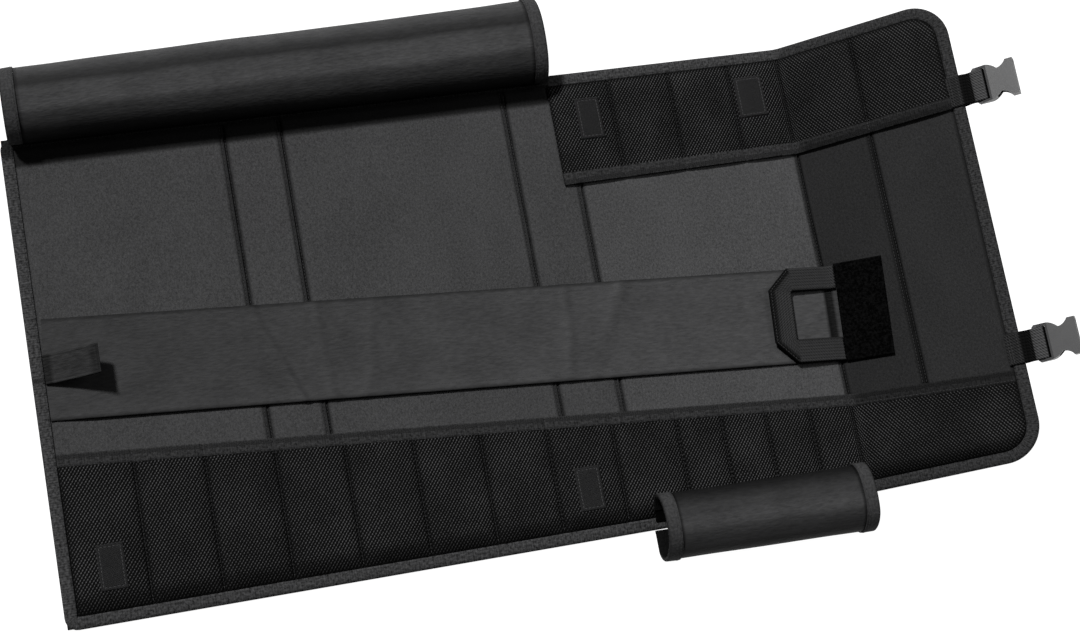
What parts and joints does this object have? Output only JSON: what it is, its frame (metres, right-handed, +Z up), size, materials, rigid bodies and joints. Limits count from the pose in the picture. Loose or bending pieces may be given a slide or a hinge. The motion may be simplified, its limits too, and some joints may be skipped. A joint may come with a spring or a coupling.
{
  "type": "chef knife roll",
  "caption": "Padded folding case for kitchen knives laid open: mesh pockets along both long edges, curled-back cover flaps, a central carrying band with handle, and strap buckles.",
  "frame": {"origin": "under the middle of the whole opened object, on the surface it rests on", "axes": "+X along the opened case, from the plain edge with the pull tab to the raised end flap with the buckles; +Y across it, from the pocket row for knives to the large cover flap; +Z up"},
  "size_m": [0.945, 0.5646, 0.1355],
  "materials": {
    "lining": "matte woven lining",
    "binding": "matte ribbed binding tape",
    "mesh": "open spacer mesh",
    "satin": "satin woven nylon",
    "hook_and_loop": "hook and loop pile",
    "webbing": "woven webbing",
    "plastic": "moulded plastic with a soft sheen"
  },
  "bodies": {
    "root": {"padded_panel": "lining", "edge_binding": "binding", "bottom_mesh_pocket_left": "mesh", "bottom_mesh_pocket_middle": "mesh", "bottom_mesh_pocket_narrow": "mesh", "bottom_mesh_pocket_end": "mesh", "bottom_pocket_tape": "binding", "top_mesh_pocket": "mesh", "top_pocket_tape": "binding", "top_cover_flap": "satin", "top_cover_binding": "binding", "bottom_cover_flap": "satin", "bottom_cover_binding": "binding", "carrying_band": "satin", "loop_patch": "hook_and_loop", "carry_handle": "webbing", "pull_tab": "satin", "pull_tab_hook": "hook_and_loop", "hook_patch_1": "hook_and_loop", "hook_patch_2": "hook_and_loop", "hook_patch_3": "hook_and_loop", "hook_patch_4": "hook_and_loop", "buckle_strap_upper": "webbing", "buckle_socket_upper": "plastic", "buckle_strap_lower": "webbing", "buckle_socket_lower": "plastic"}
  },
  "joints": []
}
